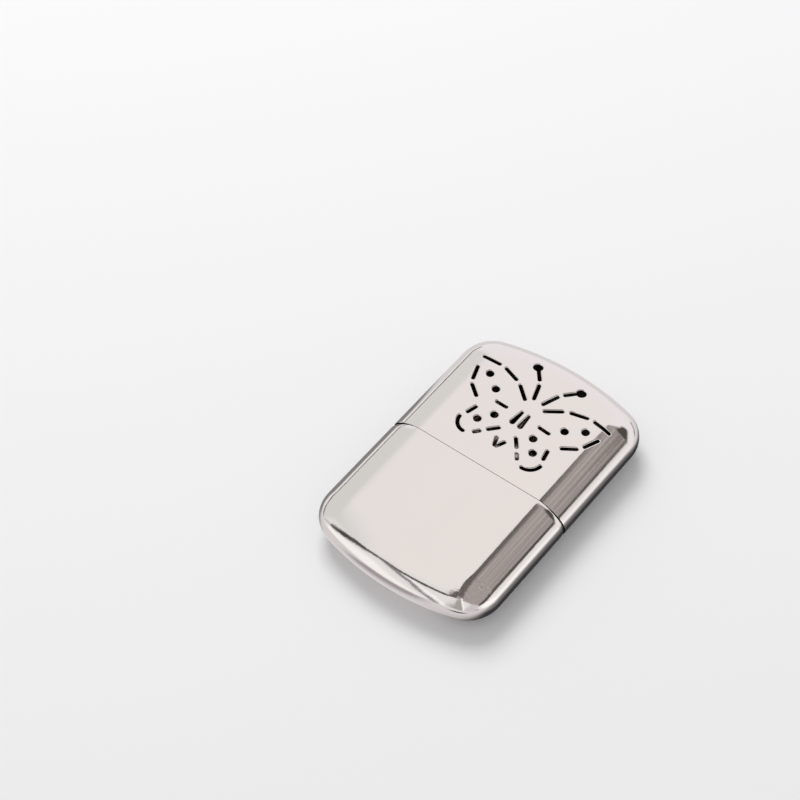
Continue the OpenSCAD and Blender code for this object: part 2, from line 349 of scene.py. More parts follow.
class FlaskEnd:
    """One end of the flask in its own place: an open mouth at y = 0 and a bowed closed end at y = length."""

    def __init__(self, length, ease_l, ease_h):
        self.length, self.ease_l, self.ease_h = length, ease_l, ease_h
        self.arc_y = length - END_R
        self.corner_y = self.arc_y + (END_R - CORNER_R) * math.cos(END_TURN)

    def outward(self, x, y):
        """How far the point lies out from the line of corner centres, and the direction outwards."""
        side = 1 if x > 0 else -1
        dx, dy = abs(x) - CORNER_X, y - self.corner_y
        if dy <= 0:
            return dx, Vector((side, 0, 0))
        if math.atan2(dy, dx) < math.pi / 2 - END_TURN:
            return math.hypot(dx, dy), Vector((side * dx, dy, 0)).normalized()
        away = Vector((x, y - self.arc_y, 0))
        return away.length - (END_R - CORNER_R), away.normalized()

    def finish(self, point, normal):
        """Draws the skin in towards the mouth, and gives the face its slight crown in the shading."""
        t = max(0.0, 1 - point.y / self.ease_l)
        ease_h = self.ease_h * (1 - LEVEL_SHARE * abs(normal.z) ** LEVEL_SHARPNESS)
        placed = point - normal * ease_h * t ** 3
        lean = Vector((point.x / HALF_W, (point.y - self.length / 2) / BODY_L, 0)) * CROWN * abs(normal.z)
        return placed, normal, normal + lean - Vector((0, 3 * ease_h * t * t / self.ease_l, 0))

    def front(self, x, y):
        out, away = self.outward(x, y)
        if out <= ROLL_START:
            return self.finish(Vector((x, y, BODY_T)), Vector((0, 0, 1)))
        angle = math.asin((out - ROLL_START) / ROLL_R)
        up = Vector((0, 0, math.cos(angle))) + away * math.sin(angle)
        return self.finish(Vector((x, y, BODY_T - ROLL_R * (1 - math.cos(angle)))), up)

    def path(self, rows):
        """Centres of the roll and the way out from each, round three sides from the right of the mouth."""
        half = [(Vector((CORNER_X, y, 0)), Vector((1, 0, 0))) for y in rows]
        corner = math.pi / 2 - END_TURN
        for i in range(1, CORNER_STEPS + 1):
            a = corner * i / CORNER_STEPS
            half.append((Vector((CORNER_X, self.corner_y, 0)), Vector((math.cos(a), math.sin(a), 0))))
        for i in range(1, BOW_STEPS + 1):
            a = corner + END_TURN * i / BOW_STEPS
            away = Vector((math.cos(a), math.sin(a), 0))
            half.append((Vector((0, self.arc_y, 0)) + away * (END_R - CORNER_R), away))
        mirror = [(Vector((-p.x, p.y, 0)), Vector((-n.x, n.y, 0))) for p, n in half[-2::-1]]
        return half + mirror


def build_shell(name, end, holes, place, body, node):
    """A drawn shell with its mouth rim and punched holes. place carries its own frame into the warmer's."""
    sheet = Sheet(SHEET)
    rows = [EDGE_Y + d for d in MOUTH_ROWS] + list(range(10, int(end.corner_y) - 1, ROW_STEP))
    rows.append(end.corner_y)
    path = end.path(rows)
    front = ROLL_ANGLES[PUNCHED_FROM if holes else 0:]
    angles = [math.radians(a) for a in front + [180 - a for a in ROLL_ANGLES[-2::-1]]]
    grid = []
    for centre, away in path:
        column = []
        for a in angles:
            out, up = roll_point(a)
            point = centre + away * out + Vector((0, 0, HALF_T + up))
            column.append(sheet.add(*end.finish(point, away * math.sin(a) + Vector((0, 0, math.cos(a))))))
        grid.append(column)
    for a, b in zip(grid, grid[1:]):
        sheet.band(a, b, closed=False)

    mouth, dips = [], []
    for side in (1, -1):
        edge = roll_point(angles[0] if side > 0 else math.pi - angles[-1])[0]
        across = [(CORNER_X + edge) * (1 - 2 * i / FACE_STEPS) for i in range(1, FACE_STEPS)]

        def put(x, y):
            point, normal, shading = end.front(x, y)
            if side < 0:
                for v in (point, normal, shading):
                    v.z = -v.z
                point.z += BODY_T
            return sheet.add(point, normal, shading)

        ids = [column[0 if side > 0 else -1] for column in grid]
        plan = [tuple(sheet.points[v].xy) for v in ids]
        mouth.append([put(x, EDGE_Y) for x in across])
        ids += mouth[-1]
        plan += [(x, EDGE_Y) for x in across]
        outlines = [hole[0] for hole in holes] if side > 0 else []
        punched = [sheet.dip(PUNCHED_EDGE, hole, end.front) for hole in holes] if side > 0 else []
        for outline, dipped in zip(outlines, punched):
            dips.append(dipped[-1])
            ids += dipped[0]
            plan += [tuple(p) for p in outline]
        middles = [sum(r, Vector((0, 0))) / len(r) for r in outlines]
        reach = [max((p - m).length for p in r) for m, r in zip(middles, outlines)]
        outs = [ROLL_START + GRID_STEP * j for j in range(int((edge - ROLL_START) / GRID_STEP))]
        spots = [c.xy + n.xy * out for out in outs for c, n in path]
        spots += [Vector((x, y)) for y in rows[1:] for x in across if abs(x) < CORNER_X]
        spots += [Vector((x * 2.5, y)) for y in range(int(end.corner_y) + 3, int(end.length) - 11, ROW_STEP)
                  for x in range(-7, 8)]
        kept = []
        for p in spots:
            if p.y < EDGE_Y + 0.05 or end.outward(p.x, p.y)[0] > edge - EDGE_ROOM:
                continue
            near = [r for m, r, far in zip(middles, outlines, reach) if (p - m).length < far + HOLE_ROOM]
            if any(inside(p, r) or min((p - q).length for q in r) < HOLE_ROOM for r in near):
                continue
            if all((p - q).length >= POINT_ROOM for q in kept[-80:]):
                kept.append(p)
        ids += [put(p.x, p.y) for p in kept]
        plan += [tuple(p) for p in kept]
        sheet.fill(plan, ids, [dipped[0] for dipped in punched], flip=side < 0)

    rim = [grid[0][0]] + mouth[0] + [grid[-1][0]] + grid[-1][1:] + mouth[1][::-1] + grid[0][:0:-1]
    sheet.thicken(dips, [(rim[::-1], (0, -1, 0))])
    points = [place @ p for p in sheet.points]
    turn = place.to_3x3()
    shading = [turn @ s if s else None for s in sheet.shading]
    make_piece(name, points, sheet.faces, shell_plate, shading, body, node,
               inner=(sheet.inner_from, shade_painted_lining))


# ---- rings and lofts for the pieces inside ----

# Steps of a ring's quarter along its flat, round its corner and down its side, and of a rounded edge.
FLAT, QUARTER, SIDE, ROUND_STEPS = 12, 10, 2, 4


def whole_ring(quarter):
    """A closed ring from its quarter, which runs from straight above the middle round to the side."""
    right = quarter + [Vector((p.x, -p.y)) for p in quarter[-2::-1]]
    return right + [Vector((-p.x, p.y)) for p in right[-2:0:-1]]


def rect_ring(w, t, r):
    """A rectangle with round corners, or a flat oval where the corners take up the whole thickness."""
    x, z = w / 2 - r, t / 2 - r
    steps = QUARTER if z > 0.01 else QUARTER + SIDE
    quarter = [Vector((x * i / FLAT, t / 2)) for i in range(FLAT)]
    for i in range(steps + 1):
        a = math.pi / 2 * i / steps
        quarter.append(Vector((x + r * math.sin(a), z + r * math.cos(a))))
    if z > 0.01:
        quarter += [Vector((w / 2, z * (1 - i / SIDE))) for i in range(1, SIDE + 1)]
    return whole_ring(quarter)


def flat_oval(w, t):
    return rect_ring(w, t, t / 2)


def oval_ring(inset):
    """Section across the flask."""
    quarter = [Vector((CORNER_X * i / FLAT, HALF_T - inset)) for i in range(FLAT)]
    for i in range(QUARTER + SIDE + 1):
        out, up = roll_point(math.pi / 2 * i / (QUARTER + SIDE), inset)
        quarter.append(Vector((CORNER_X + out, up)))
    return whole_ring(quarter)


def placed(y, ring):
    return [Vector((p.x, y, HALF_T + p.y)) for p in ring]


def rounded_rows(corners):
    """Rows of a closed profile. Each corner is (y, ring, how far it is rounded along both sides)."""
    solid = [placed(y, ring) for y, ring, _ in corners]
    rows = []
    for k, (_, _, r) in enumerate(corners):
        if r == 0:
            rows.append(solid[k])
            continue
        for s in range(ROUND_STEPS + 1):
            t = s / ROUND_STEPS
            row = []
            for before, p, after in zip(solid[k - 1], solid[k], solid[(k + 1) % len(solid)]):
                a = p + (before - p) * min(0.49, r / (before - p).length)
                b = p + (after - p) * min(0.49, r / (after - p).length)
                row.append(a * (1 - t) ** 2 + p * 2 * t * (1 - t) + b * t * t)
            rows.append(row)
    return rows


class Build:
    """Points and faces of one piece, gathered part by part, with a sheet to start from if there is one."""

    def __init__(self, sheet=None):
        self.points, self.faces = (sheet.points, sheet.faces) if sheet else ([], [])

    def rows(self, rows, capped=False):
        """Skins equal rows of points, each a ring, and caps both ends or joins the last row to the first."""
        start, n = len(self.points), len(rows[0])
        self.points += [p for row in rows for p in row]
        for k in range(len(rows) - 1 if capped else len(rows)):
            a, b = start + k * n, start + (k + 1) % len(rows) * n
            self.faces += [(a + i, a + (i + 1) % n, b + (i + 1) % n, b + i) for i in range(n)]
        if capped:
            self.faces.append(tuple(range(start, start + n)))
            self.faces.append(tuple(range(start + (len(rows) - 1) * n, start + len(rows) * n)))

    def wire(self, line, r, sides=6):
        """A round wire along a line."""
        rows = []
        for i, p in enumerate(line):
            way = (line[min(i + 1, len(line) - 1)] - line[max(i - 1, 0)]).normalized()
            side = way.cross(Vector((0.31, 0.87, 0.38))).normalized()
            up = way.cross(side)
            rows.append([p + (side * math.cos(a) + up * math.sin(a)) * r for a in even_angles(sides)])
        self.rows(rows, capped=True)

    def make(self, name, material, body, node, slot, smooth_to=35):
        obj = make_piece(name, self.points, self.faces, material, None, body, node)
        obj.data.set_sharp_from_angle(angle=math.radians(smooth_to))
        return obj


def even_angles(count):
    return [math.tau * j / count for j in range(count)]


def loft(name, corners, material, body, node, slot):
    build = Build()
    build.rows(rounded_rows(corners))
    build.make(name, material, body, node, slot)


def soften(obj, depth, size, seed):
    """Presses a soft piece in and out, a little at random, never past its own size by more than a hair."""
    shift = Vector((seed, seed * 0.7, 0))
    normals = [Vector(v.vector) for v in obj.data.vertex_normals]
    for vertex, normal in zip(obj.data.vertices, normals):
        at = vertex.co / MM
        push = noise.noise(at / size + shift) + 0.5 * noise.noise(at / size * 2.7 + shift)
        vertex.co += normal * (push - 0.9) * depth * MM


def weave(build, reach, count, pitch, r, place):
    """Wires woven both ways, count each side of the middle. reach(way, offset) is half a wire's length."""
    for way in (0, 1):
        for k in range(-count[way], count[way] + 1):
            half = reach(way, k * pitch)
            steps = max(2, round(half * 4 / pitch))
            line = []
            for i in range(steps + 1):
                u = -half + 2 * half * i / steps
                lift = r * math.cos(math.pi * (u / pitch + k + way))
                line.append(place(*((u, k * pitch) if way == 0 else (k * pitch, u)), lift))
            build.wire(line, r)


# ---- tank fittings ----

DECK_Y = SEAM_Y + 6.0
NECK_TOP = DECK_Y + 8.0
NECK_W, NECK_T = 26.0, 8.6
BORE_W, BORE_T = NECK_W - 2 * SHEET, NECK_T - 2 * SHEET
SCREEN_Y = NECK_TOP - 6.0
FILL_TOP = DECK_Y - 2 * SHEET - 0.6


def build_fittings():
    loft("shoulder_cup_pressing", [
        (SEAM_Y - 8, oval_ring(0.56), 0.2), (SEAM_Y - 3, oval_ring(0.56), 1.2),
        (SEAM_Y - 0.2, oval_ring(0.74), 0.6), (SEAM_Y + 0.6, oval_ring(0.64), 0.4),
        (DECK_Y, oval_ring(0.64), 0.7), (DECK_Y, flat_oval(NECK_W, NECK_T), 0.1),
        (DECK_Y - SHEET, flat_oval(NECK_W, NECK_T), 0.1), (DECK_Y - SHEET, oval_ring(1.1), 0.5),
        (SEAM_Y - 2, oval_ring(1.1), 0.5), (SEAM_Y - 8, oval_ring(1.02), 0.2),
    ], steel_drawn, "tank", "shoulder_cup", "inner_steel")

    build = Build()
    tube, bore = flat_oval(NECK_W, NECK_T), flat_oval(BORE_W, BORE_T)
    flange = flat_oval(NECK_W + 4, NECK_T + 4)
    build.rows(rounded_rows([
        (DECK_Y - 2 * SHEET, flange, 0.15), (DECK_Y - SHEET, flange, 0.15), (DECK_Y - SHEET, tube, 0.1),
        (NECK_TOP, tube, 0.24), (NECK_TOP, bore, 0.24), (DECK_Y - 2 * SHEET, bore, 0.45),
    ]))
    solder = flat_oval(NECK_W + 1.3, NECK_T + 1.3)
    build.rows(rounded_rows([
        (DECK_Y - 0.06, solder, 0), (DECK_Y, tube, 0.6), (DECK_Y + 0.6, tube, 0),
        (DECK_Y - 0.06, flat_oval(NECK_W - 0.3, NECK_T - 0.3), 0),
    ]))
    build.make("filler_neck_tube", steel_drawn, "tank", "filler_neck", "inner_steel")

    build = Build()
    end_x = (BORE_W - BORE_T) / 2

    def reach(way, at):
        if way == 0:
            return end_x + math.sqrt(BORE_T ** 2 / 4 - at * at) - 0.05
        past = max(0.0, abs(at) - end_x)
        return math.sqrt(BORE_T ** 2 / 4 - past * past) - 0.05

    def place(u, v, lift):
        return Vector((u, SCREEN_Y + 0.15 + lift, HALF_T + v))

    weave(build, reach, (4, 14), 0.84, 0.075, place)
    build.make("neck_screen_weave", brass_wire, "tank", "neck_screen", "brass_wire", 80)

    build = Build()
    ring = placed(SCREEN_Y + 0.6, flat_oval(BORE_W - 0.6, BORE_T - 0.6))
    build.wire(ring[2:-1], 0.29, 10)
    build.make("screen_snap_ring", steel_drawn, "tank", "screen_ring", "inner_steel", 60)

    build = Build()
    plug, strip = flat_oval(BORE_W - 0.1, BORE_T - 0.1), rect_ring(20, 3, 1.2)
    rows = [placed(FILL_TOP - 30, [p * s for p in strip]) for s in (0.3, 0.65, 0.9)]
    rows += [placed(FILL_TOP - 29.6 + i * 1.2, strip) for i in range(25)]
    for d, s in ((-0.3, 0.2), (0.0, 0.6), (0.2, 0.9), (0.5, 1), (1.2, 1), (2.0, 1), (2.8, 1), (3.3, 1)):
        rows.append(placed(FILL_TOP + 0.1 + d, [a.lerp(b, s) for a, b in zip(strip, plug)]))
    rows += [placed(SCREEN_Y - 0.02, [p * s for p in plug]) for s in (0.96, 0.8, 0.5, 0.2)]
    build.rows(rows, capped=True)
    wick = build.make("felt_wick_piece", wool_felt, "tank", "felt_wick", "wool_felt", 180)
    soften(wick, 0.10, 1.6, 3.1)


def build_wadding(name, side, node, seed):
    """One layer of cotton: it follows the inside of the tank and gives way to the wick's strip."""
    inset, mouth = 2 * SHEET + 0.12, SEAM_Y - FILL_TOP
    strip_half, strip_foot, parting = 10.8, mouth + 30.6, 0.05
    rows = [mouth + d for d in (0, 0.5, 1.5, 3, 5)] + list(range(3, int(tank_end.corner_y), 3))
    path = tank_end.path(rows + [tank_end.corner_y])
    shrink = [0.97, 0.92, 0.84, 0.74, 0.62, 0.5, 0.38, 0.26, 0.14, 0.0]
    middle = Vector((0, mouth))

    def bed(x, y):
        """Height of the parting between the layers, raised over the wick's strip."""
        over = min(1.0, max(0.0, (strip_half - abs(x)) / 1.4)) * min(1.0, max(0.0, (strip_foot - y) / 1.2))
        return parting + 1.5 * over

    def drawn_in(degrees, share):
        """The layer's outline at that angle of the roll, drawn in towards the middle of the mouth."""
        out = roll_point(math.radians(degrees), inset)[0]
        return [middle + ((c + n * out).xy - middle) * share for c, n in path]

    levels = [[Vector((*p, bed(*p))) for p in drawn_in(90, share)] for share in shrink[::-1]]
    for degrees in (80, 70, 60, 50, 40, 30, 22, 14):
        out, up = roll_point(math.radians(degrees), inset)
        levels.append([c + n * out + Vector((0, 0, up)) for c, n in path])
    top = roll_point(math.radians(8), inset)[1]
    levels += [[Vector((*p, top)) for p in drawn_in(8, share)] for share in shrink]
    build = Build()
    n = len(path)
    for k in range(len(levels) - 1):
        a, b = k * n, (k + 1) * n
        build.faces += [(a + i, a + i + 1, b + i + 1, b + i) for i in range(n - 1)]
    edge = [k * n for k in range(len(levels))] + [k * n + n - 1 for k in range(len(levels) - 2, 0, -1)]
    build.faces.append(tuple(edge))
    build.points = [tank_place @ Vector((p.x, p.y, HALF_T + side * p.z)) for level in levels for p in level]
    layer = build.make(name, cotton_wool, "tank", node, "cotton_wadding", 180)
    soften(layer, 0.16, 3.4, seed)


# ---- burner ----

LEDGE_Y = NECK_TOP + 0.1
CAGE_Y = LEDGE_Y + THIN_SHEET
CAGE_W, CAGE_T, CAGE_H, CAGE_CORNER = 29.0, 10.0, 16.0, 3.0
CAGE_TOP = CAGE_Y + CAGE_H
CAGE_MIDDLE = (CAGE_Y + CAGE_TOP) / 2
SLOT_W, SLOT_PITCH, SLOT_H = 2.2, 3.6, 9.5
SLOT_XS = [(i - 3) * SLOT_PITCH for i in range(7)]
LEDGE_W, RIVET_X = 36.0, 16.3
LOOSE_FIBRES = 220
# The punched edges of the burner's holes: (distance from the edge, depth).
SMALL_EDGE = [(0.16, 0.0), (0.09, 0.02), (0.03, 0.07), (0.0, 0.15)]


def slot_outline(x, y, w, h, grow):
    """A round-ended slot along y."""
    r, half = w / 2 + grow, (h - w) / 2
    top = arc((x, y + half), r, 0, math.pi, 8)
    foot = arc((x, y - half), r, math.pi, math.tau, 8)
    side = [(x - r, y + half * (1 - 2 * i / 4)) for i in range(1, 4)]
    return top + [Vector(p) for p in side] + foot + [Vector((2 * x - p[0], -p[1] + 2 * y)) for p in side]


def edge_rings(maker):
    return [[Vector(p) for p in maker(grow)] for grow, _ in SMALL_EDGE]


def put_holes(sheet, holes, lay):
    """Adds the dipped edges of small holes and returns their first and last rows."""
    dipped = [sheet.dip(SMALL_EDGE, rings, lay) for rings in holes]
    return [rows[0] for rows in dipped], [rows[-1] for rows in dipped]


def level_lay(y):
    """Where a hole's points lie in a level face."""
    return lambda x, z: (Vector((x, y, HALF_T + z)), Vector((0, 1, 0)), None)


def ring_turns(ring):
    """The directions outwards of a ring's points."""
    n = len(ring)
    ways = []
    for i in range(n):
        along = (ring[(i + 1) % n] - ring[i - 1]).normalized()
        ways.append(Vector((-along.y, 0, along.x)))
    return ways


def build_cage():
    """The slotted housing: a drawn cup with its open end down, punched in its top and both broad walls."""
    sheet = Sheet(THIN_SHEET)
    bend, bend_steps, wall_steps = 0.7, 5, 12
    ring = rect_ring(CAGE_W, CAGE_T, CAGE_CORNER)
    ways = ring_turns(ring)
    n, split, quarter = len(ring), FLAT + 5, len(ring) // 4
    foot, shoulder = CAGE_Y + 0.2, CAGE_TOP - bend
    rows = []
    for i in range(wall_steps + 1):
        level = placed(foot + (shoulder - CAGE_Y - 0.2) * i / wall_steps, ring)
        rows.append([sheet.add(p, w) for p, w in zip(level, ways)])
    for first, last in ((split, 2 * quarter - split), (2 * quarter + split, n - split)):
        for a, b in zip(rows, rows[1:]):
            sheet.band(a[first:last + 1], b[first:last + 1], closed=False)
    for k in range(1, bend_steps):
        a = math.pi / 2 * k / bend_steps
        row = []
        for p, w in zip(placed(shoulder + bend * math.sin(a), ring), ways):
            normal = Vector((w.x * math.cos(a), math.sin(a), w.z * math.cos(a)))
            row.append(sheet.add(p - w * bend * (1 - math.cos(a)), normal))
        rows.append(row)
        sheet.band(rows[-2], row)
    top_row = [sheet.add(p - w * bend, (0, 1, 0)) for p, w in zip(placed(CAGE_TOP, ring), ways)]
    sheet.band(rows[-1], top_row)

    holes = [edge_rings(lambda g, x=x: slot_outline(x, 0, SLOT_W, CAGE_T - 4, g)) for x in SLOT_XS]
    firsts, lasts = put_holes(sheet, holes, level_lay(CAGE_TOP))
    sheet.fill_level(top_row, firsts)

    for side in (1, -1):
        def lay(x, y):
            past = max(0.0, abs(x) - (CAGE_W / 2 - CAGE_CORNER))
            a = math.asin(min(1.0, past / CAGE_CORNER))
            drop = CAGE_CORNER * (1 - math.cos(a))
            normal = Vector((math.copysign(math.sin(a), x), 0, math.cos(a) * side))
            return Vector((x, y, HALF_T + side * (CAGE_T / 2 - drop))), normal, None

        holes = [edge_rings(lambda g, x=x: slot_outline(x, CAGE_MIDDLE, SLOT_W, SLOT_H, g)) for x in SLOT_XS]
        firsts, done = put_holes(sheet, holes, lay)
        lasts += done
        if side > 0:
            spread, ends = list(range(split + 1)) + list(range(n - split, n)), (split, n - split)
        else:
            spread = list(range(2 * quarter - split, 2 * quarter + split + 1))
            ends = (spread[0], spread[-1])
        ids = [rows[k][i] for k in (0, wall_steps) for i in spread]
        ids += [rows[k][i] for k in range(1, wall_steps) for i in ends]
        ids += [v for row in firsts for v in row]
        sheet.fill([tuple(sheet.points[v].xy) for v in ids], ids, firsts)

    sheet.thicken(lasts, [(rows[0], (0, -1, 0))], THIN_SHEET / 2)
    build = Build(sheet)
    for side in (1, -1):
        tongue = [Vector((side * (16.15 + p.x), p.y)) for p in rect_ring(3.7, 5, 0.9)]
        build.rows([placed(CAGE_Y, tongue), placed(CAGE_Y + THIN_SHEET, tongue)], capped=True)
    build.make("burner_cage_pressing", tinted_plate, "burner", "burner_cage", "burner_plate")


def build_skirt():
    tube_w, tube_t = NECK_W + 0.16, NECK_T + 0.16
    tube, mouth = flat_oval(tube_w, tube_t), flat_oval(24, 6.6)
    outer = flat_oval(tube_w + 2 * THIN_SHEET, tube_t + 2 * THIN_SHEET)
    ledge = rect_ring(LEDGE_W, CAGE_T, CAGE_CORNER)
    loft("burner_skirt_pressing", [
        (DECK_Y + 0.7, flat_oval(tube_w + 1.0, tube_t + 1.0), 0.1), (DECK_Y + 1.4, outer, 0.5),
        (LEDGE_Y, outer, 0.2), (LEDGE_Y, ledge, 0.15), (CAGE_Y, ledge, 0.15), (CAGE_Y, mouth, 0.12),
        (LEDGE_Y, mouth, 0.12), (LEDGE_Y, tube, 0.1), (DECK_Y + 1.3, tube, 0.3),
        (DECK_Y + 0.7, flat_oval(tube_w + 0.3, tube_t + 0.3), 0.1),
    ], steel_drawn, "burner", "burner_skirt", "inner_steel")


def build_floor_plate():
    sheet = Sheet(THIN_SHEET)
    ring = rect_ring(CAGE_W - 2 * THIN_SHEET - 0.1, CAGE_T - 2 * THIN_SHEET - 0.1, CAGE_CORNER - THIN_SHEET)
    border = [sheet.add(p, (0, 1, 0)) for p in placed(CAGE_Y + THIN_SHEET, ring)]
    spots = [(x * 2.6, z * 1.3) for x in range(-4, 5) for z in (-1, 1)]
    holes = [edge_rings(lambda g, spot=spot: disc_ring(spot, 0.7, g)) for spot in spots]
    firsts, lasts = put_holes(sheet, holes, level_lay(CAGE_Y + THIN_SHEET))
    sheet.fill_level(border, firsts)
    half = len(sheet.points)
    sheet.thicken(lasts)
    sheet.band(border, [v + half for v in border])
    Build(sheet).make("burner_floor_plate", brass_sheet, "burner", "burner_floor", "brass_sheet")


def build_mat():
    build = Build()
    block = rect_ring(CAGE_W - 2.4, 8.36, 2.5)
    foot, head = CAGE_Y + THIN_SHEET + 0.02, CAGE_TOP - THIN_SHEET - 0.02
    rows = [placed(foot, [p * s for p in block]) for s in (0.2, 0.5, 0.8, 0.95)]
    rows += [placed(foot + 0.3 + (head - foot - 0.6) * i / 18, block) for i in range(19)]
    rows += [placed(head, [p * s for p in block]) for s in (0.95, 0.8, 0.5, 0.2)]
    build.rows(rows, capped=True)
    mat = build.make("catalyst_mat_core", glass_fibre, "burner", "catalyst_mat", "catalyst_fibre", 180)
    soften(mat, 0.12, 1.5, 8.3)
    build, pick = Build(), random.Random(11)
    for _ in range(LOOSE_FIBRES):
        side = pick.choice((1, -1))
        x, y, a = pick.uniform(-11.5, 11.5), pick.uniform(foot + 0.6, head - 0.6), pick.uniform(0, math.pi)
        curl, length = pick.uniform(-0.25, 0.25), pick.uniform(1.5, 4.5)
        line = []
        for i in range(6):
            u = (i / 5 - 0.5) * length
            px = min(12.0, max(-12.0, x + u * math.cos(a + curl * u)))
            py = min(head - 0.2, max(foot + 0.2, y + u * math.sin(a + curl * u)))
            line.append(Vector((px, py, HALF_T + side * (4.10 + 0.05 * math.cos(u * 2)))))
        build.wire(line, 0.035, 4)
    build.make("catalyst_mat_fibres", glass_fibre, "burner", "catalyst_mat", "catalyst_fibre", 80)


def build_gauze(name, side, node):
    def place(u, v, lift):
        return Vector((u, CAGE_MIDDLE + v, HALF_T + side * (4.4 + lift * 0.95)))

    build = Build()
    weave(build, lambda way, at: 11.35 if way == 0 else 7.55, (9, 14), 0.78, 0.1, place)
    build.make(name, brass_wire, "burner", node, "brass_wire", 80)


# Half of a rivet from the middle of its head: (radius, height over the sheet).
RIVET_HEAD = [(0.01, 0.45), (0.35, 0.42), (0.7, 0.33), (0.95, 0.18), (1.08, 0.0), (0.6, 0.0)]


def build_rivets():
    profile = [(r, CAGE_Y + THIN_SHEET + h) for r, h in RIVET_HEAD]
    profile += [(r, LEDGE_Y - h) for r, h in RIVET_HEAD[::-1]]
    build = Build()
    for side in (1, -1):
        rows = []
        for r, y in profile:
            rows.append([Vector((side * RIVET_X + r * math.cos(a), y, HALF_T + r * math.sin(a)))
                         for a in even_angles(20)])
        build.rows(rows, capped=True)
    build.make("burner_rivet_pair", brass_sheet, "burner", "burner_rivets", "brass_sheet", 50)


# ---- materials ----

def new_material(name):
    material = bpy.data.materials.new(name)
    material.use_nodes = True
    tree = material.node_tree
    return material, tree, tree.nodes["Principled BSDF"]


def add(tree, kind, inputs=None, **settings):
    """A shader node with its settings and inputs. An input is a value, or the socket that feeds it."""
    node = tree.nodes.new("ShaderNode" + kind)
    for key, value in settings.items():
        setattr(node, key, value)
    for key, value in (inputs or {}).items():
        if isinstance(value, bpy.types.NodeSocket):
            tree.links.new(value, node.inputs[key])
        else:
            node.inputs[key].default_value = value
    return node


def math_node(tree, operation, *values, clamp=False):
    return add(tree, "Math", dict(enumerate(values)), operation=operation, use_clamp=clamp).outputs[0]


def vector_node(tree, operation, *values, scale=None):
    """The same for vectors; a length, distance or dot product comes out as a number."""
    inputs = dict(enumerate(values))
    if scale is not None:
        inputs["Scale"] = scale
    gives = "Value" if operation in ("LENGTH", "DISTANCE", "DOT_PRODUCT") else "Vector"
    return add(tree, "VectorMath", inputs, operation=operation).outputs[gives]


def remap(tree, value, low, high, to_low, to_high, kind="LINEAR"):
    inputs = dict(enumerate((value, low, high, to_low, to_high)))
    return add(tree, "MapRange", inputs, interpolation_type=kind).outputs[0]


def smooth_step(tree, value, low, high):
    """Rises from 0 at low to 1 at high, or falls where low is the larger."""
    return remap(tree, value, low, high, 0.0, 1.0, "SMOOTHSTEP")


def cloud(tree, where, scale, detail, roughness=0.5, distortion=0.0):
    """Random clouds: the outputs of a noise texture."""
    return add(tree, "TexNoise", {"Vector": where, "Scale": scale, "Detail": detail, "Roughness": roughness,
                                  "Distortion": distortion}).outputs


def ramp(tree, value, *stops):
    """A colour along a value. Stops are (position, colour): the first, the last, then those between."""
    node = add(tree, "ValToRGB", {0: value})
    made = node.color_ramp.elements
    for i, (at, colour) in enumerate(stops):
        stop = made[i] if i < 2 else made.new(at)
        stop.position, stop.color = at, (*colour, 1)
    return node.outputs[0]


def lay_over(tree, mask, below, colour):
    """A colour laid over what is there so far."""
    return add(tree, "Mix", {0: mask, 6: below, 7: (*colour, 1)}, data_type="RGBA").outputs[2]


def bump(tree, height, strength, distance, **under):
    inputs = {"Height": height, "Strength": strength, "Distance": distance}
    return add(tree, "Bump", inputs | under).outputs[0]


def finish_shader(tree, shader, colour, roughness, normal, metallic=0.0):
    for name, socket in (("Base Color", colour), ("Roughness", roughness), ("Normal", normal)):
        tree.links.new(socket, shader.inputs[name])
    shader.inputs["Metallic"].default_value = metallic


def new_group(name, **scales):
    """A node group with named numbers to set. Returns it with those numbers and the place on the object."""
    group = bpy.data.node_groups.new(name, "ShaderNodeTree")
    for label, start in scales.items():
        label = label.replace("_", " ")
        socket = group.interface.new_socket(label, in_out="INPUT", socket_type="NodeSocketFloat")
        socket.default_value = start
    return group, group.nodes.new("NodeGroupInput").outputs, add(group, "TexCoord").outputs["Object"]


def give_out(group, **values):
    """Gives the group its named outputs."""
    for label in values:
        group.interface.new_socket(label, in_out="OUTPUT", socket_type="NodeSocketFloat")
    result = group.nodes.new("NodeGroupOutput")
    for label, value in values.items():
        group.links.new(value, result.inputs[label])
    return group


def place_group(tree, group):
    return add(tree, "Group", node_tree=group).outputs


def stretch(tree, where, scale, turn=(0, 0, 0)):
    return add(tree, "Mapping", {"Vector": where, "Rotation": turn, "Scale": scale}).outputs[0]


def polish_marks():
    """Hairlines along the length, soft smears and a faint ripple, as polishing and handling leave them."""
    group, given, where = new_group("polish_marks", Hairline_Scale=60.0, Smear_Scale=70.0, Ripple_Scale=420.0)
    stretched = stretch(group, where, (40.0, 1.0, 40.0))
    return give_out(
        group,
        Hairlines=cloud(group, stretched, given["Hairline Scale"], 3.0, 0.6)[0],
        Smears=cloud(group, where, given["Smear Scale"], 4.0, 0.55, 0.6)[0],
        Ripple=cloud(group, where, given["Ripple Scale"], 3.0, 0.6)[0],
    )


def drawn_grain():
    """Fine lines drawn along the length, with pits, as drawn steel sheet has."""
    group, given, where = new_group("drawn_grain", Grain_Scale=90.0, Pit_Scale=900.0)
    stretched = stretch(group, where, (12.0, 1.0, 12.0))
    return give_out(
        group,
        Grain=cloud(group, stretched, given["Grain Scale"], 4.0, 0.7)[0],
        Pits=cloud(group, where, given["Pit Scale"], 2.0)[0],
    )


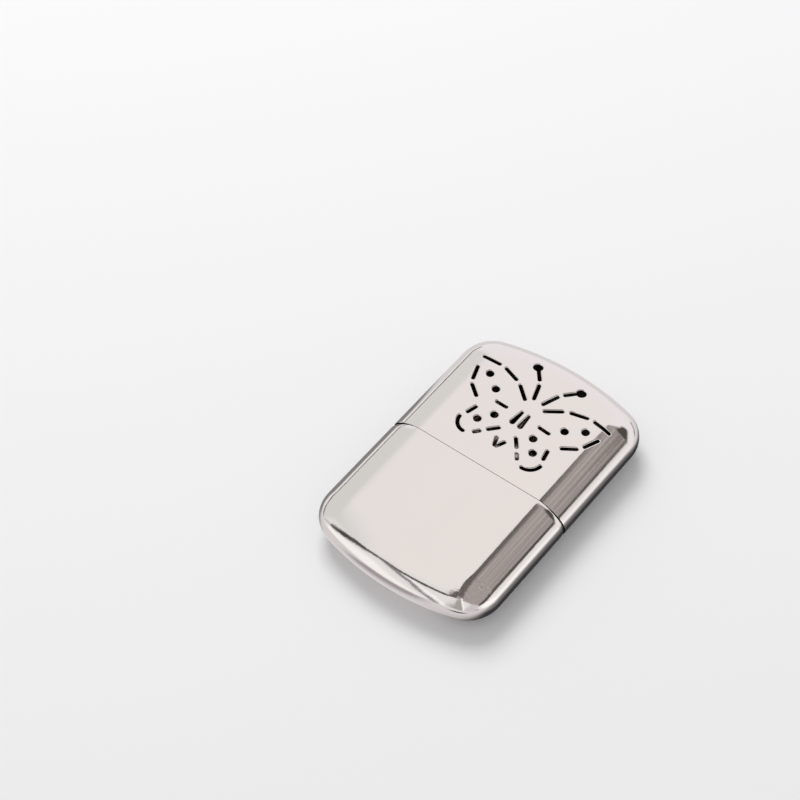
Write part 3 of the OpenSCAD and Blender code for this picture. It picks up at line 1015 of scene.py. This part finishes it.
def tangled_fibres():
    """Tangled fibres: bright threads on a cloudy ground."""
    group, given, where = new_group("tangled_fibres", Fibre_Scale=600.0, Cloud_Scale=220.0)
    wander = cloud(group, where, given["Cloud Scale"], 3.0)
    bent = vector_node(group, "MULTIPLY_ADD", where, wander["Color"], (0.002, 0.002, 0.002))
    webs = []
    for turn in ((0.3, 0.2, 0.5), (1.2, 0.9, 2.1)):
        turned = stretch(group, bent, (1, 0.14, 1), turn)
        webs.append(cloud(group, turned, given["Fibre Scale"], 2.0, 0.6)[0])
    return give_out(group, Threads=math_node(group, "MAXIMUM", *webs), Clouds=wander[0])


POLISH, GRAIN, FIBRES = polish_marks(), drawn_grain(), tangled_fibres()
HAIRLINE_BUMP, RIPPLE_BUMP, SMEAR_SHARE = 0.12, 0.10, 0.24


def plated_metal(name, colour, roughness):
    """Polished plate, a little darker and duller where it is smeared."""
    material, tree, shader = new_material(name)
    marks = place_group(tree, POLISH)
    smears = marks["Smears"]
    smeared = lay_over(tree, math_node(tree, "MULTIPLY", smears, SMEAR_SHARE), (*colour, 1),
                       [c * 0.93 for c in colour])
    wavy = bump(tree, marks["Ripple"], RIPPLE_BUMP, 0.0001)
    lines = bump(tree, marks["Hairlines"], HAIRLINE_BUMP, 0.00002, Normal=wavy)
    worn = remap(tree, smears, 0.35, 0.75, roughness * 0.8, roughness * 1.5)
    finish_shader(tree, shader, smeared, worn, lines, 1.0)
    return material


def satin_metal(name, colour, dull, roughness, grain=0.25):
    """Sheet or wire with a drawn grain, darker and rougher where it has dulled."""
    material, tree, shader = new_material(name)
    marks = place_group(tree, GRAIN)
    worn = remap(tree, marks["Grain"], 0.3, 0.7, roughness * 0.75, roughness * 1.3)
    finish_shader(tree, shader, ramp(tree, marks["Pits"], (0.35, dull), (0.62, colour)), worn,
                  bump(tree, marks["Grain"], grain, 0.00003), 1.0)
    return material


def heat_tinted(name):
    """Plate that heat has coloured straw, bronze and blue, most at the middle of the burner."""
    material, tree, shader = new_material(name)
    where = add(tree, "TexCoord").outputs["Object"]
    centred = vector_node(tree, "ADD", where, (0, -CAGE_MIDDLE * MM, -HALF_T * MM))
    far = math_node(tree, "MULTIPLY", vector_node(tree, "LENGTH", centred), 45.0)
    blot = cloud(tree, where, 130.0, 3.0, distortion=0.4)[0]
    heat = math_node(tree, "ADD", far, math_node(tree, "MULTIPLY", blot, 0.55))
    tint = ramp(tree, heat, (0.45, (0.06, 0.06, 0.085)), (1.0, (0.26, 0.235, 0.21)),
                (0.58, (0.09, 0.06, 0.07)), (0.70, (0.16, 0.10, 0.06)), (0.85, (0.23, 0.17, 0.11)))
    finish_shader(tree, shader, tint, remap(tree, blot, 0.3, 0.7, 0.22, 0.42),
                  bump(tree, place_group(tree, GRAIN)["Grain"], 0.2, 0.00003), 1.0)
    return material


def fibre_cloth(name, light, dark, strength, sheen):
    """Felt, cotton or glass fibre."""
    material, tree, shader = new_material(name)
    web = place_group(tree, FIBRES)
    shader.inputs["Sheen Weight"].default_value = sheen
    height = math_node(tree, "ADD", web["Threads"], web["Clouds"])
    finish_shader(tree, shader, ramp(tree, web["Threads"], (0.42, dark), (0.66, light)),
                  remap(tree, web["Clouds"], 0.3, 0.7, 0.8, 1.0), bump(tree, height, strength, 0.0002))
    return material


NICKEL = (0.80, 0.755, 0.73)
shell_plate = plated_metal("polished_nickel_plate", NICKEL, 0.07)
# The inside of the shells is painted near black: painted shade that keeps the punched holes dark.
shade_painted_lining = plated_metal("inside_plate_painted_shade", (0.15, 0.14, 0.13), 0.5)
steel_drawn = satin_metal("drawn_steel", (0.52, 0.51, 0.49), (0.38, 0.37, 0.35), 0.30)
brass_wire = satin_metal("brass_wire", (0.66, 0.50, 0.25), (0.40, 0.27, 0.12), 0.30, 0.15)
brass_sheet = satin_metal("brass_sheet", (0.70, 0.54, 0.27), (0.50, 0.35, 0.16), 0.26)
tinted_plate = heat_tinted("heat_tinted_plate")
wool_felt = fibre_cloth("wool_felt", (0.84, 0.80, 0.72), (0.66, 0.61, 0.52), 0.7, 0.4)
cotton_wool = fibre_cloth("cotton_wool", (0.93, 0.92, 0.89), (0.80, 0.79, 0.75), 0.6, 0.5)
glass_fibre = fibre_cloth("coated_glass_fibre", (0.50, 0.49, 0.47), (0.22, 0.21, 0.20), 0.8, 0.1)

# The cap's mouth is drawn in by a hair, the tank's by a third of a millimetre over 2.6 mm.
cap_end = FlaskEnd(CAP_L, 0.6, 0.05)
tank_end = FlaskEnd(TANK_L, 2.6, 0.36)
cap_place = Matrix.Translation((0, SEAM_Y + SEAM_GAP, 0))
tank_place = Matrix.Translation((0, SEAM_Y, 0)) @ Matrix.Rotation(math.pi, 4, "Z")
figure_shift = Vector((0, SEAM_Y + SEAM_GAP))
cap_holes = [[[p - figure_shift for p in ring] for ring in rings] for rings in figure_rings()]
build_shell("cap_body", cap_end, cap_holes, cap_place, "cap", "cap_shell")
build_shell("tank_body", tank_end, [], tank_place, "tank", "tank_shell")

build_fittings()
build_wadding("front_wadding_layer", 1, "wadding_front", 5.2)
build_wadding("back_wadding_layer", -1, "wadding_back", 9.7)
build_cage()
build_skirt()
build_floor_plate()
build_mat()
build_gauze("front_gauze_weave", 1, "gauze_front")
build_gauze("back_gauze_weave", -1, "gauze_back")
build_rivets()

# ---- floor, light and camera ----

floor_material, _, floor_shader = new_material("pale_table")
floor_shader.inputs["Base Color"].default_value = (0.92, 0.92, 0.925, 1)
floor_shader.inputs["Roughness"].default_value = 0.65
floor_shader.inputs["Specular IOR Level"].default_value = 0.0


def lay_square(name, half, height, material):
    """A level square."""
    corners = [(x * half, y * half, height) for x, y in ((-1, -1), (1, -1), (1, 1), (-1, 1))]
    square = make_piece(name, corners, [(0, 1, 2, 3)], material)
    return square


lay_square("table", 1800.0, -0.05, floor_material)

# The studio round the warmer as a map: degrees across and along from straight above, as the warmer lies.
# A field is an outline, how soft it is and its colour; a streak is a line, half its width and the same two.
PALE, GREY, DARK, WHITE = (0.95, 0.95, 0.96), (0.42, 0.385, 0.375), (0.075, 0.07, 0.066), (1.2, 1.2, 1.2)
STUDIO_FIELDS = [
    ([(-70, 30), (20, 33), (80, 45), (60, 110), (-60, 110)], 6, (1.0, 0.98, 1.02)),
    ([(-97, 52), (-92, -28), (-33, -34), (-31, 34)], 8, (0.80, 0.815, 0.80)),
    ([(-25, 60), (-25, -30), (-5, -30), (-12, 60)], 5, (1.0, 0.975, 0.965)),
    ([(60, -25), (120, -20), (120, 60), (66, 40)], 8, (1.25, 1.25, 1.25)),
    ([(36, -28), (38, -76), (72, -70), (60, -22)], 6, (0.72, 0.70, 0.71)),
    ([(-66, -50), (-60, -92), (-30, -98), (-8, -88), (-30, -48)], 4, (1.14, 1.14, 1.14)),
    ([(2, -44), (3, -84), (30, -84), (37, -74), (13, -40)], 3, (0.47, 0.46, 0.42)),
    ([(66, -40), (72, -62), (90, -55), (88, -38)], 7, (0.45, 0.42, 0.45)),
    ([(-10, 30), (-3.5, -42), (12, -41), (38, -34), (57, -22), (59, 0), (52, 37), (14, 44)], 0.8, GREY),
    ([(-9, 30), (-1, -35), (14, -36), (0, 30)], 2.5, (0.17, 0.155, 0.15)),
    ([(12, 35), (24, 32), (54, 37), (30, 60), (17, 56)], 4, (0.09, 0.08, 0.07)),
]
STUDIO_STREAKS = [
    ([(12, -38), (28, -55), (38, -72)], 2, 1.5, WHITE),
    ([(-8.6, 30), (-2, -42)], 1.2, 0.8, DARK),
    ([(51, 34), (57, 5), (57, -22)], 3.4, 1.4, DARK),
    ([(-88, -28), (-65, -38), (-50, -46)], 2, 2, (0.62, 0.61, 0.61)),
    ([(-50, -46), (-43, -42.5), (-35, -37.5), (-25, -35.5), (-18, -38.5), (-4, -43)], 2, 1.2, DARK),
    ([(-45, -44), (-40, -41), (-34, -38)], 3.2, 1.8, DARK),
    ([(-62, -70), (-48, -82), (-30, -92)], 1.6, 1.6, (0.5, 0.47, 0.43)),
    ([(-25, -36.5), (-15, -50), (-8, -66), (-3.5, -84), (-3, -89)], 1.8, 1.5, (0.2, 0.2, 0.21)),
    ([(-17, -42), (-6, -58), (0.5, -76), (1, -89)], 1.2, 1, WHITE),
    ([(-86, -24), (-88, 0), (-80, 39), (-67, 59)], 2, 1.5, (0.16, 0.15, 0.15)),
    ([(12, 88), (26, 85), (46, 74)], 1.5, 1.5, (0.14, 0.13, 0.13)),
]
# Flecks within a field: outline, softness, the noise values between which they come up, colour.
STUDIO_MOTTLE = [
    ([(4, 34), (9, -40), (40, -32), (56, -20), (50, 36)], 3, 0.48, 0.62, (0.56, 0.525, 0.515)),
    ([(2, 34), (8, -38), (56, -20), (52, 36)], 3, 0.46, 0.34, (0.27, 0.245, 0.235)),
    ([(-7, 30), (1, -35), (10, -37), (4, 30)], 2, 0.50, 0.36, (0.10, 0.09, 0.085)),
]


def field_mask(tree, at, corners, soft):
    """1 inside a convex outline, given anticlockwise, with edges that soft wide."""
    mask = None
    for a, b in zip(corners, corners[1:] + corners[:1]):
        inwards = Vector((a[1] - b[1], b[0] - a[0], 0)).normalized()
        lean = vector_node(tree, "DOT_PRODUCT", at, inwards)
        start = inwards.dot(Vector((*a, 0)))
        side = smooth_step(tree, lean, start - soft, start + soft)
        mask = side if mask is None else math_node(tree, "MULTIPLY", mask, side)
    return mask


def streak_mask(tree, at, line, wide, soft):
    """1 along a bent line."""
    nearest = None
    for a, b in zip(line, line[1:]):
        run = Vector((b[0] - a[0], b[1] - a[1], 0))
        rel = vector_node(tree, "SUBTRACT", at, (*a, 0))
        along = vector_node(tree, "DOT_PRODUCT", rel, run / run.length_squared)
        foot = vector_node(tree, "SCALE", run, scale=math_node(tree, "ADD", along, 0.0, clamp=True))
        off = vector_node(tree, "DISTANCE", rel, foot)
        nearest = off if nearest is None else math_node(tree, "MINIMUM", nearest, off)
    return smooth_step(tree, nearest, wide + soft, wide - soft)


# Card laid round the warmer on the table that glows with painted shade and light, darkest beside the warmer:
# only the polished metal mirrors it. Millimetres, soft edges.
CARD_HALF, CARD_PAINTED_GLOW = 130.0, (0.80, 0.78, 0.80)
CARD_PAINTED_SHADE = [
    ([(-95, -38), (-34, -46), (-30, 26), (-95, 40)], 7, (0.27, 0.26, 0.27)),
    ([(-45, -125), (8, -125), (10, -60), (-24, -56)], 7, (0.43, 0.40, 0.43)),
    ([(24, -44), (150, -44), (150, 60), (24, 60)], 8, (0.52, 0.52, 0.53)),
    ([(20, -46), (72, -46), (72, 56), (20, 56)], 16, (0.20, 0.20, 0.205)),
    ([(18, -44), (44, -44), (44, 50), (18, 50)], 5, (0.05, 0.05, 0.055)),
    ([(22, -74), (30, -96), (46, -94), (51, -72), (36, -70)], 1.5, (0.015, 0.014, 0.014)),
]


def shade_painted_card():
    material, tree, shader = new_material("shade_painted_card")
    tree.nodes.remove(shader)
    where = add(tree, "TexCoord").outputs["Object"]
    at = vector_node(tree, "SCALE", where, scale=1 / MM)
    painted_glow = (*CARD_PAINTED_GLOW, 1)
    for outline, soft, colour in CARD_PAINTED_SHADE:
        painted_glow = lay_over(tree, field_mask(tree, at, outline, soft), painted_glow, colour)
    # The card glows with this painted shade and light; no lamp lights it.
    glow = add(tree, "Emission", {"Color": painted_glow}).outputs[0]
    tree.links.new(glow, tree.nodes["Material Output"].inputs["Surface"])
    material.cycles.emission_sampling = "NONE"
    card = lay_square("shade_painted_card", CARD_HALF, -0.02, material)
    for rays in ("camera", "diffuse", "shadow", "transmission"):
        setattr(card, "visible_" + rays, False)


shade_painted_card()

world = bpy.data.worlds.new("studio")
bpy.context.scene.world = world
world.use_nodes = True
studio = world.node_tree
parts = add(studio, "SeparateXYZ", {0: add(studio, "TexCoord").outputs["Generated"]}).outputs
tilt = math_node(studio, "MULTIPLY", math_node(studio, "ARCCOSINE", parts[2]), math.degrees(1))
level_part = add(studio, "CombineXYZ", {0: parts[0], 1: parts[1]}).outputs[0]
even = vector_node(studio, "SCALE", vector_node(studio, "NORMALIZE", level_part), scale=tilt)
# Hand-polished plate never mirrors an edge quite straight, so the map wavers a little.
waver = cloud(studio, even, 0.3, 3.0, 0.6)["Color"]
sway = vector_node(studio, "ADD", waver, (-0.5, -0.5, -0.5))
spot = vector_node(studio, "MULTIPLY_ADD", sway, (5.0, 3.0, 0.0), even)
seen = (*PALE, 1)
for outline, soft, colour in STUDIO_FIELDS:
    seen = lay_over(studio, field_mask(studio, spot, outline, soft), seen, colour)
for line, wide, soft, colour in STUDIO_STREAKS:
    seen = lay_over(studio, streak_mask(studio, spot, line, wide, soft), seen, colour)
mottle = cloud(studio, stretch(studio, even, (1.0, 0.45, 1.0)), 0.4, 5.0, 0.7)[0]
for outline, soft, low, high, colour in STUDIO_MOTTLE:
    field = field_mask(studio, spot, outline, soft)
    flecks = math_node(studio, "MULTIPLY", field, smooth_step(studio, mottle, low, high))
    seen = lay_over(studio, flecks, seen, colour)
# Matt surfaces get an even light instead of the picture that the polished metal mirrors.
rays = add(studio, "LightPath").outputs
mirrored = math_node(studio, "MAXIMUM", rays["Is Camera Ray"], rays["Is Glossy Ray"])
even_light = add(studio, "Background", {"Color": (0.56, 0.56, 0.565, 1)}).outputs[0]
picture = add(studio, "Background", {"Color": seen}).outputs[0]
shown = add(studio, "MixShader", {0: mirrored, 1: even_light, 2: picture}).outputs[0]
studio.links.new(shown, studio.nodes["World Output"].inputs["Surface"])
studio.nodes.remove(studio.nodes["Background"])
# A small map of where the light comes from is enough for so soft a studio.
world.cycles.sampling_method = "MANUAL"
world.cycles.sample_map_resolution = 256


def soft_box(name, at, size, watts):
    """A square area lamp that faces the warmer and isn't mirrored in it."""
    lamp = bpy.data.lights.new(name, "AREA")
    lamp.size, lamp.energy = size, watts
    obj = bpy.data.objects.new(name, lamp)
    bpy.context.collection.objects.link(obj)
    obj.location = Vector(at) * MM
    obj.rotation_euler = (-obj.location).to_track_quat("-Z", "Y").to_euler()
    obj.visible_glossy = False


soft_box("key_softbox", (-840, 660, 1280), 0.9, 15.0)

CAMERA_AT = Vector((262.9, -357.7, 611.5)) * MM
CAMERA_RIGHT = Vector((0.7904, 0.6122, -0.0222)).normalized()
CAMERA_DOWN = Vector((0.4712, -0.6307, -0.6166)).normalized()
# The focal length in pixels of a frame that is 800 across, and the sensor's width in millimetres.
FOCAL_PIXELS, FRAME_W, SENSOR_W = 2457.2, 800, 36.0
camera = bpy.data.objects.new("camera", bpy.data.cameras.new("camera"))
bpy.context.collection.objects.link(camera)
camera_up = -(CAMERA_DOWN - CAMERA_RIGHT * CAMERA_DOWN.dot(CAMERA_RIGHT)).normalized()
turn = Matrix((CAMERA_RIGHT, camera_up, CAMERA_RIGHT.cross(camera_up))).transposed().to_4x4()
camera.matrix_world = Matrix.Translation(CAMERA_AT) @ turn
camera.data.sensor_width = SENSOR_W
camera.data.lens = FOCAL_PIXELS / FRAME_W * SENSOR_W
camera.data.clip_start, camera.data.clip_end = 0.01, 20.0
bpy.context.scene.camera = camera
bpy.context.scene.view_settings.view_transform = "Standard"
